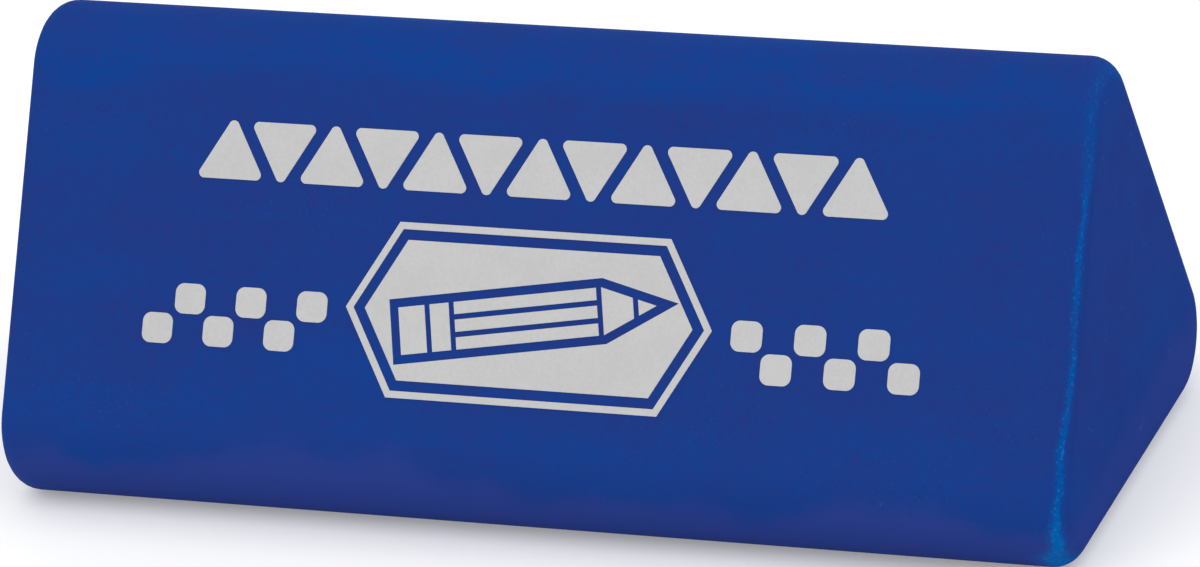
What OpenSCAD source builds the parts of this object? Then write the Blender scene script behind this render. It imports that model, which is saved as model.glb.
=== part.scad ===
// Triangular eraser: one rounded three-sided block of soft compound, lying on a long face,
// with a pale ink print on the long face that looks towards -Y.
// The origin is on the surface that it lies on, under the middle of the block.
// X runs along the block and Z is up. Millimetres.

/* [Block] */
// Length of the block from end face to end face
block_length = 45; // [38:0.5:60]
// Width of each long face, measured over its two rounded edges
face_width = 20; // [18:0.5:28]
// Radius of the three long edges
long_edge_r = 2.9; // [1.5:0.1:3.5]
// Radius of the edges round the two end faces
end_edge_r = 1.1; // [0.3:0.05:1.4]
// Number of short flats that make up each end edge's quarter round
end_edge_flats = 5; // [3:1:8]
// Depth that each long face lies below the crests of its rounded edges
face_sink = 0.02; // [0.01:0.01:0.1]

/* [Ink film] */
// Thickness of the printed ink
ink_thickness = 0.05; // [0.02:0.01:0.2]

/* [Triangle row] */
// Number of triangles, pointing up and down by turns
triangle_count = 13; // [5:2:17]
// Height of each triangle, measured over its rounded corners
triangle_height = 2.36; // [1.8:0.02:3]
// Corner radius of each triangle
triangle_corner_r = 0.22; // [0.1:0.02:0.3]
// Gap between the slanting sides of neighbouring triangles
triangle_gap = 0.5; // [0.2:0.05:0.7]
// Gap between the badge and the row above it
row_to_badge = 1.27; // [0.6:0.01:2]

/* [Badge] */
// Width of the six-sided badge from point to point
badge_width = 15.4; // [13:0.1:18]
// Height of the badge
badge_height = 7; // [6:0.1:8]
// Length of each pointed end
badge_point = 2; // [1:0.1:3]
// Width of the badge's outer line
badge_line = 0.28; // [0.2:0.02:0.5]
// Bare band between the outer line and the filled field
badge_band = 0.42; // [0.2:0.02:0.6]
// Height of the badge's middle above the middle line of the face
badge_rise = -1.9; // [-2.4:0.05:-1.4]

/* [Pencil on the badge] */
// Thickness of the pencil
pencil_thickness = 1.9; // [1.2:0.1:2.4]
// Bare band round the pencil
pencil_band = 0.36; // [0.2:0.02:0.5]
// Room left between the badge's field and each end of the pencil
pencil_end_room = 1.5; // [1:0.1:2.5]
// Slope of the pencil, in degrees
pencil_slope = 9; // [0:0.5:11]
// Length of the lead
lead_length = 0.75; // [0.4:0.05:1.2]
// Length of the bare wood behind the lead
wood_length = 1.5; // [1:0.1:2.5]
// Length of the metal band near the back end
ferrule_length = 0.8; // [0.5:0.05:1.5]
// Length of the rubber tip at the back end
rubber_length = 1.1; // [0.8:0.05:1.6]
// Width of the thin bare lines that part the pencil's pieces
pencil_parting = 0.22; // [0.12:0.02:0.3]

/* [Checks] */
// Number of columns of checks on each side of the badge
check_columns = 6; // [4:1:7]
// Width of each check
check_width = 1.29; // [1:0.05:1.6]
// Height of each check
check_height = 1.22; // [1:0.05:1.6]
// Corner radius of each check
check_corner_r = 0.36; // [0.1:0.02:0.45]
// Straight gap between a check and the next column or row
check_gap = 0.02; // [0:0.01:0.3]
// Gap between the badge's points and the nearest check
check_to_badge = 0.8; // [0.4:0.05:1.5]
// Drop of the checks' middle line below the middle of the badge
check_drop = 0.74; // [0:0.05:1.5]

/* [Hidden] */
$fn = 64;

block_colour = "#1e3d89";
ink_colour = "#c6c6c5";

// The section is an equilateral triangle of edge centres with a round edge at each corner.
turn = 120;
lean = 60;
flat_width = face_width - 2 * long_edge_r;
centres_height = flat_width * sin(lean);
inradius = centres_height / 3;
section_middle = long_edge_r + inradius;

// Middle of the printed face, as Y and Z
face_reach = inradius + long_edge_r - face_sink;
face_y = -face_reach * sin(lean);
face_z = section_middle + face_reach * cos(lean);

// The corner centres of a small triangle, and the step to its neighbour along the row
inner_height = triangle_height - 2 * triangle_corner_r;
inner_side = inner_height / sin(lean);
triangle_step = inner_side / 2 + (2 * triangle_corner_r + triangle_gap) / sin(lean);
row_rise = badge_rise + (badge_height + triangle_height) / 2 + row_to_badge;

// The filled field of the badge, inside its line and bare band
field_inset = badge_line + badge_band;
point_angle = atan(badge_height / 2 / badge_point);
field_reach = badge_width / 2 - field_inset / sin(point_angle);

// The pencil's length, and where each piece of it starts, from its back end
pencil_length = 2 * (field_reach - pencil_end_room);
tip_length = lead_length + wood_length;
tip_angle = atan(pencil_thickness / 2 / tip_length);
ferrule_start = rubber_length + pencil_parting;
barrel_start = ferrule_start + ferrule_length + pencil_parting;
barrel_length = pencil_length - tip_length - pencil_parting - barrel_start;
facet_width = (pencil_thickness - 2 * pencil_parting) / 3;

// The steps from column to column and from row to row of checks, and the middle of each group
check_step = [check_width, check_height] + [1, 1] * check_gap;
check_rise = badge_rise - check_drop;
checks_middle = badge_width / 2 + check_to_badge + ((check_columns - 1) * check_step[0] + check_width) / 2;

// Half section along the block, in (distance outwards from a long edge's axis, place along it): as deep
// as the edge's radius less the sink, with its two outer corners rounded off in short flats. A sunk
// section is also a little shorter, so that its flats cross those of the round edges clear of their
// corners. The flat beside each end face runs on past it, to be cut off square with the rest of the block.
module edge_profile(sink) {
    end_sink = sink / 4;
    reach = long_edge_r - end_edge_r - sink;
    along = block_length / 2 - end_edge_r - end_sink;
    flat_turn = 90 / end_edge_flats;
    past_end = along + end_edge_r + reach / 2 * tan(flat_turn / 2);
    quarter = [for (i = [1:end_edge_flats]) i * flat_turn];
    polygon([
        [0, -past_end],
        [reach / 2, -past_end],
        for (a = quarter) [reach + end_edge_r * sin(a), -along - end_edge_r * cos(a)],
        for (a = quarter) [reach + end_edge_r * cos(a - flat_turn), along + end_edge_r * sin(a - flat_turn)],
        [reach / 2, past_end],
        [0, past_end]
    ]);
}

// One long edge: a full round, of which two thirds lie inside the block
module long_edge() {
    translate([flat_width / 2, -inradius])
        rotate_extrude() edge_profile(0);
}

// Straight layer under one long face, from edge axis to edge axis
module face_layer() {
    translate([flat_width / 2, -inradius])
        rotate([90, 0, -90])
            linear_extrude(flat_width) edge_profile(face_sink);
}

// Three-sided core, which reaches a little way into the face layers and runs on past both ends
module core() {
    reach = 2 * inradius + long_edge_r - end_edge_r - face_sink;
    linear_extrude(block_length + 2 * long_edge_r, center = true)
        polygon([for (corner = [0:2]) reach * [sin(corner * turn), cos(corner * turn)]]);
}

module eraser_block() {
    color(block_colour)
        translate([0, 0, section_middle])
            rotate([90, 0, 90])
                intersection() {
                    cube([2 * face_width, 2 * face_width, block_length], center = true);
                    union() {
                        core();
                        for (side = [0:2])
                            rotate(side * turn) {
                                face_layer();
                                long_edge();
                            }
                    }
                }
}

// Lays a flat drawing on the printed face as an ink film: X along the block, Y up the face
module printed(rise) {
    color(ink_colour)
        translate([0, face_y, face_z])
            rotate([lean, 0, 0])
                translate([0, rise, 0])
                    linear_extrude(ink_thickness) children();
}

// Equilateral triangle with rounded corners, its middle height on the X axis. Its straight sides lie a
// hair inside the rounds, so that the two cross.
module rounded_triangle() {
    side_reach = 0.99 * triangle_corner_r;
    corners = [[-inner_side / 2, 0], [inner_side / 2, 0], [0, inner_height]];
    translate([0, -inner_height / 2]) {
        polygon([
            for (i = [0:2])
                for (side = [i - 1, i])
                    corners[i] + side_reach * [sin(side * turn), -cos(side * turn)]
        ]);
        for (corner = corners)
            translate(corner) circle(triangle_corner_r);
    }
}

module print_triangle_row() {
    last = triangle_count - 1;
    printed(row_rise)
        for (i = [0:last])
            translate([(i - last / 2) * triangle_step, 0])
                mirror([0, i % 2])
                    rounded_triangle();
}

// Six-sided outline of the badge, drawn in by a margin all round
module badge_outline(margin) {
    reach = badge_width / 2 - margin / sin(point_angle);
    half = badge_height / 2 - margin;
    shoulder = reach - half / tan(point_angle);
    polygon([
        [reach, 0], [shoulder, half], [-shoulder, half],
        [-reach, 0], [-shoulder, -half], [shoulder, -half]
    ]);
}

// Outline of the whole pencil, grown by a margin all round, with its back end at X = 0
module pencil_outline(margin) {
    half = pencil_thickness / 2 + margin;
    tip = pencil_length + margin / sin(tip_angle);
    shoulder = tip - half / tan(tip_angle);
    polygon([[-margin, -half], [shoulder, -half], [tip, 0], [shoulder, half], [-margin, half]]);
}

// Places a drawing of the pencil along its slope, with its middle in the middle of the badge
module along_pencil() {
    rotate(pencil_slope)
        translate([-pencil_length / 2, 0])
            children();
}

// A slice of the pencil's full height
module pencil_slice(start, length) {
    translate([start, -pencil_thickness / 2]) square([length, pencil_thickness]);
}

module pencil_pieces() {
    pencil_slice(0, rubber_length);
    pencil_slice(ferrule_start, ferrule_length);
    for (facet = [-1:1])
        translate([barrel_start, facet * (facet_width + pencil_parting) - facet_width / 2])
            square([barrel_length, facet_width]);
    intersection() {
        pencil_outline(0);
        union() {
            pencil_slice(pencil_length - tip_length, wood_length - pencil_parting);
            pencil_slice(pencil_length - lead_length, lead_length);
        }
    }
}

module print_badge() {
    printed(badge_rise) {
        difference() {
            badge_outline(0);
            badge_outline(badge_line);
        }
        difference() {
            badge_outline(field_inset);
            along_pencil() pencil_outline(pencil_band);
        }
        along_pencil() pencil_pieces();
    }
}

// Check with rounded corners, about its own middle
module check() {
    straight = [check_width, check_height] - [2, 2] * check_corner_r;
    square([check_width, straight[1]], center = true);
    square([straight[0], check_height], center = true);
    for (x = [-1, 1], y = [-1, 1])
        translate([x * straight[0], y * straight[1]] / 2) circle(check_corner_r);
}

// Checks in two rows, every other column dropped by one row. The first column is on the upper row.
module checks() {
    last = check_columns - 1;
    for (i = [0:last])
        translate([(i - last / 2) * check_step[0], (1 / 2 - i % 2) * check_step[1]])
            check();
}

module print_checks_left() {
    printed(check_rise) translate([-checks_middle, 0]) mirror([1, 0]) checks();
}

module print_checks_right() {
    printed(check_rise) translate([checks_middle, 0]) checks();
}

eraser_block();
print_triangle_row();
print_badge();
print_checks_left();
print_checks_right();
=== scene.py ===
# A triangular eraser lying on a pale floor: a rounded three-sided block of blue compound with a grey
# print on its front face. Lengths are in metres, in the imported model's frame.
import math

import bmesh
import bpy
from mathutils import Matrix, Vector


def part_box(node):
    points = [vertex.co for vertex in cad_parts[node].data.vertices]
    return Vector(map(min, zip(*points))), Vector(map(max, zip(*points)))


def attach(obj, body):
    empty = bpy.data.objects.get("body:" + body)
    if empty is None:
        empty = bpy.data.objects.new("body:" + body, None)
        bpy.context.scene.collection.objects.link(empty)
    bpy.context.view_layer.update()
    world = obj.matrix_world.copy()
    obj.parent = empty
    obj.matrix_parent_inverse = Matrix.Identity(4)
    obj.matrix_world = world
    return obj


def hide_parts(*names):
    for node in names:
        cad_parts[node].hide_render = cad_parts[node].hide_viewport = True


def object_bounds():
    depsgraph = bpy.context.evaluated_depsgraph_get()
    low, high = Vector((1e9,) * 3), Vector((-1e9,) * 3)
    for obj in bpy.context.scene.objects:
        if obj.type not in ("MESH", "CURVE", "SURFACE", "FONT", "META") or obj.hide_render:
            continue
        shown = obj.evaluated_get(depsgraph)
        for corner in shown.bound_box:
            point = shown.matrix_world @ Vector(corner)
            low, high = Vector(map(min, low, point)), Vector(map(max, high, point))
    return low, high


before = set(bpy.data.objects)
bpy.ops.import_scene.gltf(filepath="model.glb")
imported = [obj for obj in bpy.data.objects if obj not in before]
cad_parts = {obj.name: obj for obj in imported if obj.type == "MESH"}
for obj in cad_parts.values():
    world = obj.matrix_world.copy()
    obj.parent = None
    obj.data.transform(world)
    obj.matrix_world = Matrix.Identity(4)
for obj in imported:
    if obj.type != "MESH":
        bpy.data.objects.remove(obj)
cad_low, cad_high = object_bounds()


# The block
# One solid piece of soft vinyl compound, coloured right through. It is extruded as a three-sided bar
# with rounded edges and cut to length, and the cut ends are tumbled until their edges are round.
block_low, block_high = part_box("eraser_block")
BLOCK_LENGTH = block_high.x - block_low.x
FLAT_WIDTH = 0.0142
LONG_EDGE_RADIUS = (block_high.y - block_low.y - FLAT_WIDTH) / 2
END_EDGE_RADIUS = 0.0011
SECTION_INRADIUS = FLAT_WIDTH / (2 * math.sqrt(3))
SECTION_MIDDLE = Vector((0, 0, (block_low.z + block_high.z - SECTION_INRADIUS) / 2))
CORNER_TURN = math.radians(120)
CORNER_STEPS = 31
FLAT_CUTS = 29
LENGTH_CUTS = 79
END_EDGE_STEPS = 8
END_BORDERS = (0.0002, 0.0008)
END_FACING = 0.999
SMOOTH_ANGLE = math.radians(30)


def pick(piece, kind, wanted):
    """In edit mode, selects just the vertices, edges or faces of the piece that are wanted."""
    bpy.ops.mesh.select_mode(type=kind)
    bpy.ops.mesh.select_all(action="DESELECT")
    shape = bmesh.from_edit_mesh(piece.data)
    elements = {"VERT": shape.verts, "EDGE": shape.edges, "FACE": shape.faces}[kind]
    for element in elements:
        element.select_set(bool(wanted(element)))
    shape.select_flush_mode()
    bmesh.update_edit_mesh(piece.data)


bpy.ops.object.select_all(action="DESELECT")
bpy.ops.mesh.primitive_circle_add(
    vertices=3 * CORNER_STEPS,
    radius=LONG_EDGE_RADIUS,
    location=SECTION_MIDDLE - Vector((BLOCK_LENGTH / 2, 0, 0)),
    rotation=(math.pi / 2, 0, math.pi / 2),
)
block = bpy.context.active_object
block.name = "block_body"
bpy.ops.object.transform_apply(location=True, rotation=True, scale=True)
bpy.ops.object.mode_set(mode="EDIT")

# Each third of the circle is pulled out to its corner, which leaves a round edge there.
for corner in range(3):
    turn = corner * CORNER_TURN
    outwards = Vector((0, math.sin(turn), math.cos(turn)))
    pick(
        block,
        "VERT",
        lambda vertex: (vertex.co - SECTION_MIDDLE).yz.angle(outwards.yz) < CORNER_TURN / 2,
    )
    bpy.ops.transform.translate(value=2 * SECTION_INRADIUS * outwards)

# The flats are divided, and the section is filled and drawn out to the block's length.
pick(block, "EDGE", lambda edge: edge.calc_length() > FLAT_WIDTH / 2)
bpy.ops.mesh.subdivide(number_cuts=FLAT_CUTS)
bpy.ops.mesh.select_all(action="SELECT")
bpy.ops.mesh.edge_face_add()
bpy.ops.mesh.extrude_region_move(TRANSFORM_OT_translate={"value": (BLOCK_LENGTH, 0, 0)})
bpy.ops.mesh.select_all(action="SELECT")
bpy.ops.mesh.normals_make_consistent(inside=False)

# The end edges are rounded, and thin borders inside them keep the end faces flat.
pick(block, "EDGE", lambda edge: abs(edge.verts[0].co.x - edge.verts[1].co.x) < BLOCK_LENGTH / 2)
bpy.ops.mesh.bevel(offset=END_EDGE_RADIUS, segments=END_EDGE_STEPS, affect="EDGES", clamp_overlap=False)
pick(block, "FACE", lambda face: abs(face.normal.x) > END_FACING)
for border in END_BORDERS:
    bpy.ops.mesh.inset(thickness=border, use_even_offset=True)
pick(block, "EDGE", lambda edge: edge.calc_length() > BLOCK_LENGTH / 2)
bpy.ops.mesh.subdivide(number_cuts=LENGTH_CUTS)
bpy.ops.object.mode_set(mode="OBJECT")
bpy.ops.object.shade_smooth_by_angle(angle=SMOOTH_ANGLE)


def srgb(red, green, blue):
    """A colour as a picture gives it, 0 to 255, as the linear colour that a shader takes."""
    parts = [part / 255 for part in (red, green, blue)]
    return [p / 12.92 if p <= 0.04045 else ((p + 0.055) / 1.055) ** 2.4 for p in parts] + [1]


def new_material(name):
    """A fresh material and its surface shader."""
    made = bpy.data.materials.new(name)
    made.use_nodes = True
    return made, made.node_tree.nodes["Principled BSDF"]


def set_inputs(node, inputs):
    """Puts numbers, colours or other nodes' outputs on a node's inputs."""
    for name, value in inputs.items():
        if isinstance(value, bpy.types.NodeSocket):
            node.id_data.links.new(value, node.inputs[name])
        else:
            node.inputs[name].default_value = value


def add_node(tree, kind, inputs, **settings):
    """Adds a shader node to a tree, with its settings and inputs."""
    made = tree.nodes.new(kind)
    for name, value in settings.items():
        setattr(made, name, value)
    set_inputs(made, inputs)
    return made


# Each function below adds nodes beside the first output that it is given, in the tree that is that
# output's id_data, and returns an output.
def worked_out(operation, *values):
    """One step of arithmetic, such as ABSOLUTE or DIVIDE, on an output and other values."""
    made = add_node(values[0].id_data, "ShaderNodeMath", dict(enumerate(values)), operation=operation)
    return made.outputs[0]


def sums(*terms, plus=0.0):
    """The total of outputs, each given with its weight."""
    total = plus
    for value, weight in terms:
        total = worked_out("MULTIPLY_ADD", value, weight, total)
    return total


def times(value, *factors):
    """An output multiplied by other outputs or numbers."""
    for factor in factors:
        value = worked_out("MULTIPLY", value, factor)
    return value


def ramp(value, low, high, to_low=0.0, to_high=1.0):
    """An output with its low..high taken smoothly to to_low..to_high."""
    ends = {"From Min": low, "From Max": high, "To Min": to_low, "To Max": to_high}
    made = add_node(
        value.id_data,
        "ShaderNodeMapRange",
        {"Value": value, **ends},
        interpolation_type="SMOOTHSTEP",
    )
    return made.outputs["Result"]


def bands(value, levels):
    """An output that eases from level to level, each given with its place from 0 to 1."""
    made = add_node(value.id_data, "ShaderNodeValToRGB", {"Fac": value})
    made.color_ramp.interpolation = "EASE"
    stops = made.color_ramp.elements
    while len(stops) < len(levels):
        stops.new(1.0)
    for stop, (spot, level) in zip(stops, levels):
        stop.position = spot
        stop.color = (level, level, level, 1)
    return made.outputs["Color"]


def mix_colours(share, first, second):
    """A colour that goes from the first to the second by a share from 0 to 1."""
    # A Mix node has sockets for numbers, vectors and colours under the same names, so these go by number.
    share_socket = 0
    first_colour = 6
    second_colour = 7
    colour_result = 2
    inputs = {share_socket: share, first_colour: first, second_colour: second}
    made = add_node(share.id_data, "ShaderNodeMix", inputs, data_type="RGBA")
    return made.outputs[colour_result]


def noise(place, scale, detail, roughness):
    """A noise texture with so many blotches to the metre."""
    inputs = {"Vector": place, "Scale": scale, "Detail": detail, "Roughness": roughness}
    return add_node(place.id_data, "ShaderNodeTexNoise", inputs).outputs["Fac"]


def stretched(place, along):
    """The place on the object with X scaled, which draws a texture out along the block if under 1."""
    inputs = {"Vector": place, "Scale": (along, 1, 1)}
    return add_node(place.id_data, "ShaderNodeMapping", inputs).outputs["Vector"]


def specks(place, to_metre, radius, share):
    """Small round specks, so many cells to the metre, of which only a share holds a speck."""
    solid_part = 0.4
    sharp_step = 0.001
    cells = add_node(place.id_data, "ShaderNodeTexVoronoi", {"Vector": place, "Scale": to_metre}).outputs
    dot = ramp(cells["Distance"], radius, solid_part * radius)
    chance = add_node(place.id_data, "ShaderNodeSeparateColor", {"Color": cells["Color"]}).outputs["Red"]
    return times(dot, ramp(chance, 1 - share, 1 - share + sharp_step))


def bumped(height, strength, depth):
    """The direction of a surface with small bumps of that depth."""
    inputs = {"Height": height, "Strength": strength, "Distance": depth}
    return add_node(height.id_data, "ShaderNodeBump", inputs).outputs["Normal"]


compound, block_shader = new_material("blue_eraser_compound")
place = compound.node_tree.nodes.new("ShaderNodeTexCoord").outputs["Object"]
axes = add_node(place.id_data, "ShaderNodeSeparateXYZ", {"Vector": place}).outputs
along = axes["X"]
height = axes["Z"]
from_middle = worked_out("ABSOLUTE", along)

# The skin is streaked and mottled, and faint bands with wavy borders run along it, brighter low on the
# sides.
# The brighter band at the top is a painted sheen. Round the foot a duller but lighter blue is painted
# light bounced up from the floor, in the redder tone of shade. The cut ends are blotched.
DULL_BLUE = srgb(35, 55, 128)
BRIGHT_BLUE = srgb(16, 64, 143)
FOOT_BOUNCE_BLUE = srgb(42, 62, 138)
# The high level at 0.96, near the top, is a painted sheen.
BAND_AND_SHEEN_LEVELS = ((0, 0.4), (0.27, 0.54), (0.41, 0.3), (0.89, 0.32), (0.96, 0.78), (1, 0.5))
FOOT_BOUNCE_BORDER = (0.21, 0.13)
BORDER_WAVER = 0.28
BORDER_RAGGED = 0.06
TONE_CONTRAST = 3
BLOTCH_CONTRAST = 1.6
CUT_BORDER = (BLOCK_LENGTH / 2 - 0.6 * END_EDGE_RADIUS, BLOCK_LENGTH / 2 - 0.05 * END_EDGE_RADIUS)
streaks = noise(stretched(place, 0.12), scale=520, detail=5, roughness=0.6)
lines = noise(stretched(place, 0.03), scale=3200, detail=2, roughness=0.5)
clouds = noise(place, scale=230, detail=3, roughness=0.5)
mottle = noise(place, scale=2300, detail=3, roughness=0.6)
tone = sums((streaks, 0.3), (lines, 0.1), (clouds, 0.25), (mottle, 0.35))
waver = noise(stretched(place, 3), scale=45, detail=3, roughness=0.5)
ragged = noise(stretched(place, 0.4), scale=1100, detail=3, roughness=0.6)
share_up = sums(
    (height, 1 / cad_high.z),
    (waver, BORDER_WAVER),
    (ragged, BORDER_RAGGED),
    plus=-(BORDER_WAVER + BORDER_RAGGED) / 2,
)
cut = ramp(from_middle, *CUT_BORDER)
blotches = times(cut, noise(place, scale=480, detail=5, roughness=0.65))
tone_and_sheen = sums(
    (bands(share_up, BAND_AND_SHEEN_LEVELS), 1),
    (tone, TONE_CONTRAST),
    (blotches, BLOTCH_CONTRAST),
    (cut, -BLOTCH_CONTRAST / 2),
    plus=-TONE_CONTRAST / 2,
)
colour = mix_colours(tone_and_sheen, DULL_BLUE, BRIGHT_BLUE)
# Painted light round the foot: a lighter blue that stands in for light bounced up from the floor.
colour = mix_colours(ramp(share_up, *FOOT_BOUNCE_BORDER), colour, FOOT_BOUNCE_BLUE)

# The cut ends are painted a little darker than the extruded skin, a painted shade on the end face, and
# carry a few short fine scratches.
CUT_SHADE_BLUE = srgb(24, 54, 129)
PALE_MARK_AND_GLINT_BLUE = srgb(45, 96, 168)
CUT_SHADE_SHARE = 0.4
SCRATCH_SHARE = 0.5
colour = mix_colours(times(cut, CUT_SHADE_SHARE), colour, CUT_SHADE_BLUE)
cracks = add_node(
    place.id_data,
    "ShaderNodeTexVoronoi",
    {"Vector": place, "Scale": 420},
    feature="DISTANCE_TO_EDGE",
)
hairlines = ramp(cracks.outputs["Distance"], 0.012, 0.004)
short = ramp(noise(place, scale=800, detail=2, roughness=0.5), 0.58, 0.66)
colour = mix_colours(times(hairlines, short, cut, SCRATCH_SHARE), colour, PALE_MARK_AND_GLINT_BLUE)

# Fine pale specks in loose patches are painted glints, the sparkle of a soft highlight on the grain.
# A few larger pale specks lie anywhere.
GLINT_SPECK_SHARE = 0.3
LARGE_SPECK_SHARE = 0.7
glint_patches = ramp(noise(stretched(place, 0.5), scale=150, detail=2, roughness=0.5), 0.5, 0.66)
glint_specks = specks(place, to_metre=7000, radius=0.3, share=0.3)
large_specks = specks(place, to_metre=330, radius=0.02, share=0.2)
colour = mix_colours(times(glint_specks, glint_patches, GLINT_SPECK_SHARE), colour, PALE_MARK_AND_GLINT_BLUE)
colour = mix_colours(times(large_specks, LARGE_SPECK_SHARE), colour, PALE_MARK_AND_GLINT_BLUE)

# The edges of the right end carry a painted highlight, a glow of light on their rounded curve: a thin
# uneven line of clear light blue partway round the curve. It is clearest at the lower corners, spreads
# most at the foot, and near the top it broadens and fades. At the left end it hardly shows.
EDGE_HIGHLIGHT_BLUE = srgb(0, 80, 160)
CORNER_HIGHLIGHT_BLUE = srgb(0, 100, 178)
HIGHLIGHT_FLECK_BLUE = srgb(40, 118, 190)
WAY_ROUND = 0.0010
LOW_SHIFT = 0.00025
FOOT_SHIFT = 0.0004
TOP_SHIFT = -0.00005
HALF_WIDTH = 0.00014
LOW_SPREAD = 0.0001
FOOT_SPREAD = 0.0003
TOP_SPREAD = 0.0002
WANDER = 0.0007
CRUMBLE = 0.0005
CORNER_REACH = (0.0098, 0.0112)
LOW_HEIGHTS = (0.0060, 0.0035)
FOOT_HEIGHTS = (0.0020, 0.0010)
TOP_HEIGHTS = (0.0136, 0.0158)
FADE_HEIGHTS = (0.0158, 0.0130)
LEFT_END_SHARE = 0.12
TOP_SHARE = 0.35
HIGHLIGHT_FLECK_SHARE = 0.6
into_edge = sums((from_middle, 1 / END_EDGE_RADIUS), plus=1 - BLOCK_LENGTH / 2 / END_EDGE_RADIUS)
edge_turn = worked_out("ARCSINE", into_edge)
from_axis = add_node(
    place.id_data,
    "ShaderNodeMapping",
    {"Vector": place, "Location": -SECTION_MIDDLE, "Scale": (0, 1, 1)},
)
from_axis = add_node(
    place.id_data,
    "ShaderNodeVectorMath",
    {0: from_axis.outputs["Vector"]},
    operation="LENGTH",
)
corners = ramp(from_axis.outputs["Value"], *CORNER_REACH)
low_corners = times(corners, ramp(height, *LOW_HEIGHTS))
near_foot = times(low_corners, ramp(height, *FOOT_HEIGHTS))
near_top = ramp(height, *TOP_HEIGHTS)
off_line = sums(
    (edge_turn, END_EDGE_RADIUS),
    (near_top, TOP_SHIFT),
    (low_corners, LOW_SHIFT),
    (near_foot, FOOT_SHIFT),
    (noise(place, scale=300, detail=3, roughness=0.6), WANDER),
    (noise(place, scale=5500, detail=3, roughness=0.7), CRUMBLE),
    plus=-WAY_ROUND - (WANDER + CRUMBLE) / 2,
)
half_width = sums(
    (low_corners, LOW_SPREAD),
    (near_foot, FOOT_SPREAD),
    (near_top, TOP_SPREAD),
    plus=HALF_WIDTH,
)
widths_off = worked_out("DIVIDE", worked_out("ABSOLUTE", off_line), half_width)
core_and_fringe = sums((ramp(widths_off, 1.2, 0.3), 0.65), (ramp(widths_off, 2.6, 0.4), 0.35))
uneven = ramp(noise(place, scale=260, detail=3, roughness=0.6), 0.36, 0.56, 0.55, 1.0)
at_right_end = ramp(along, -0.001, 0.001, LEFT_END_SHARE, 1.0)
fading_up = ramp(height, *FADE_HEIGHTS, TOP_SHARE, 1.0)
on_curve = ramp(edge_turn, 1.5, 1.35)
edge_highlight = times(core_and_fringe, uneven, at_right_end, fading_up, on_curve)
highlight_flecks = ramp(noise(place, scale=7000, detail=2, roughness=0.6), 0.54, 0.68)
# Painted highlight along the end edges, with paler flecks in it.
colour = mix_colours(edge_highlight, colour, mix_colours(low_corners, EDGE_HIGHLIGHT_BLUE, CORNER_HIGHLIGHT_BLUE))
colour = mix_colours(times(highlight_flecks, edge_highlight, HIGHLIGHT_FLECK_SHARE), colour, HIGHLIGHT_FLECK_BLUE)

# The surface is dull and finely grained, and the cut ends are a little rougher. More gloss would let the
# white room grey the blue at the edges.
BLOCK_GLOSS = 0.01
SKIN_ROUGHNESS = (0.7, 0.58)
CUT_ROUGHER = 0.15
grain = noise(place, scale=5200, detail=3, roughness=0.6)
set_inputs(
    block_shader,
    {
        "Base Color": colour,
        "Specular IOR Level": BLOCK_GLOSS,
        "Roughness": sums((ramp(tone, 0.3, 0.7, *SKIN_ROUGHNESS), 1), (cut, CUT_ROUGHER)),
        "Normal": bumped(sums((grain, 0.5), (mottle, 0.35), (lines, 0.15)), strength=0.3, depth=0.00004),
    },
)

block.data.materials.append(compound)
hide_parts("eraser_block")
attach(block, "root")


# The print
# Four patches of opaque pale grey ink, a row of triangles, a badge and two groups of checks. They are
# pad-printed on the front face, and the matt film lies flat on the compound.
THICK_INK = srgb(199, 199, 199)
THIN_INK = srgb(193, 193, 194)
INK_GLOSS = 0.1
INK_ROUGHNESS = (0.64, 0.78)
ink, ink_shader = new_material("pale_grey_ink")
place = ink.node_tree.nodes.new("ShaderNodeTexCoord").outputs["Object"]
clouds = noise(place, scale=700, detail=3, roughness=0.5)
grit = noise(place, scale=7000, detail=3, roughness=0.6)
cover = sums((clouds, 0.4), (grit, 0.6))
set_inputs(
    ink_shader,
    {
        "Base Color": mix_colours(ramp(cover, 0.64, 0.36), THICK_INK, THIN_INK),
        "Specular IOR Level": INK_GLOSS,
        "Roughness": ramp(cover, 0.3, 0.7, *INK_ROUGHNESS),
        "Normal": bumped(cover, strength=0.2, depth=0.00002),
    },
)
for name in ("print_triangle_row", "print_badge", "print_checks_left", "print_checks_right"):
    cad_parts[name].data.materials.clear()
    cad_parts[name].data.materials.append(ink)


# The floor
# A plain pale sheet under the eraser. It is white to the camera and keeps the eraser's soft shadow.
FLOOR_SIZE = 6
FLOOR_GREY = (0.82, 0.82, 0.82, 1)
FLOOR_LIFT = 0.25
WHITE = (1, 1, 1, 1)


def seen(tree):
    """1 for light on its way to the camera, straight, off a glossy surface or through glass, else 0."""
    rays = tree.nodes.new("ShaderNodeLightPath").outputs
    straight_or_glossy = worked_out("MAXIMUM", rays["Is Camera Ray"], rays["Is Glossy Ray"])
    return worked_out("MAXIMUM", straight_or_glossy, rays["Is Transmission Ray"])


bpy.ops.mesh.primitive_plane_add(size=FLOOR_SIZE)
floor = bpy.context.active_object
floor.name = "floor"
pale, floor_shader = new_material("pale_floor")
set_inputs(
    floor_shader,
    {
        "Base Color": FLOOR_GREY,
        "Roughness": 1.0,
        "Specular IOR Level": 0.0,
        "Emission Color": WHITE,
        "Emission Strength": times(seen(pale.node_tree), FLOOR_LIFT),
    },
)
floor.data.materials.append(pale)


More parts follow.
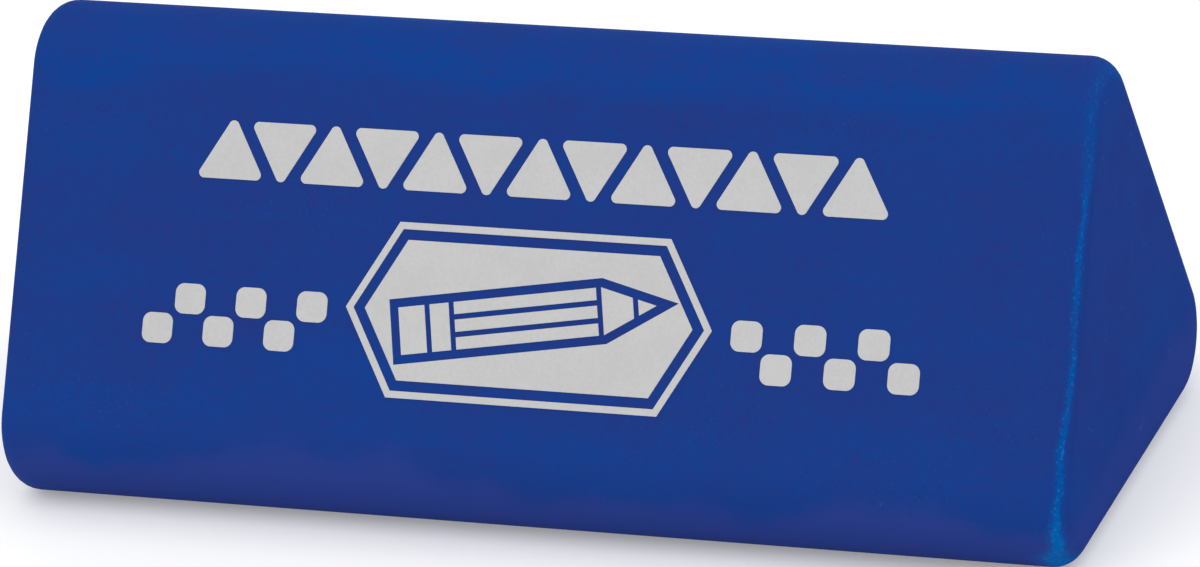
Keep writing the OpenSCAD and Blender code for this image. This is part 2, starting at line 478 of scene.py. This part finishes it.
# The light
# A white room lights the eraser evenly from all round. Three wide soft lamps help it: one above the
# front, one on the right behind it, and a weak one low in front.
ROOM_LIGHT = 0.81
ROOM_SEEN = 1.0
LAMP_AIM = Vector((0, 0, 0.008))
room = bpy.data.worlds.new("white_room")
bpy.context.scene.world = room
room.use_nodes = True
room_level = ramp(seen(room.node_tree), 0, 1, ROOM_LIGHT, ROOM_SEEN)
set_inputs(room.node_tree.nodes["Background"], {"Color": WHITE, "Strength": room_level})


def add_lamp(name, spot, size, power):
    """Adds a soft square lamp of that size and power at a spot, turned to the eraser."""
    bpy.ops.object.light_add(type="AREA", location=spot)
    lamp = bpy.context.active_object
    lamp.name = name
    lamp.data.size = size
    lamp.data.energy = power
    lamp.rotation_euler = (LAMP_AIM - Vector(spot)).to_track_quat("-Z", "Y").to_euler()


add_lamp("top_lamp", spot=(-0.1, -0.3, 0.5), size=0.5, power=0.9)
add_lamp("right_lamp", spot=(0.55, 0.25, 0.25), size=0.5, power=0.9)
add_lamp("low_lamp", spot=(-0.1, -0.6, 0.06), size=0.4, power=0.12)


# The camera
# It stands where the photograph was taken from, a little above the eraser and to its right, tipped a
# little. It aims near the middle of the block.
AZIMUTH = math.radians(21.768)
ELEVATION = math.radians(24.828)
ROLL = math.radians(-5.729)
DISTANCE = 0.33703
LENS = 252.009
SENSOR_WIDTH = 36
AIM_HEIGHT = 0.009
AIM_RIGHT = 0.00055
AIM_UP = -0.001726
back = Vector(
    (
        math.sin(AZIMUTH) * math.cos(ELEVATION),
        -math.cos(AZIMUTH) * math.cos(ELEVATION),
        math.sin(ELEVATION),
    )
)
level_right = Vector((math.cos(AZIMUTH), math.sin(AZIMUTH), 0))
level_up = back.cross(level_right)
right = math.cos(ROLL) * level_right + math.sin(ROLL) * level_up
up = math.cos(ROLL) * level_up - math.sin(ROLL) * level_right
aim = Vector((0, 0, AIM_HEIGHT)) + AIM_RIGHT * right + AIM_UP * up
bpy.ops.object.camera_add()
camera = bpy.context.active_object
camera.matrix_world = Matrix((right, up, back)).transposed().to_4x4()
camera.location = aim + DISTANCE * back
camera.data.sensor_width = SENSOR_WIDTH
camera.data.lens = LENS
camera.data.clip_start = 0.01
bpy.context.scene.camera = camera
bpy.context.scene.view_settings.view_transform = "Standard"
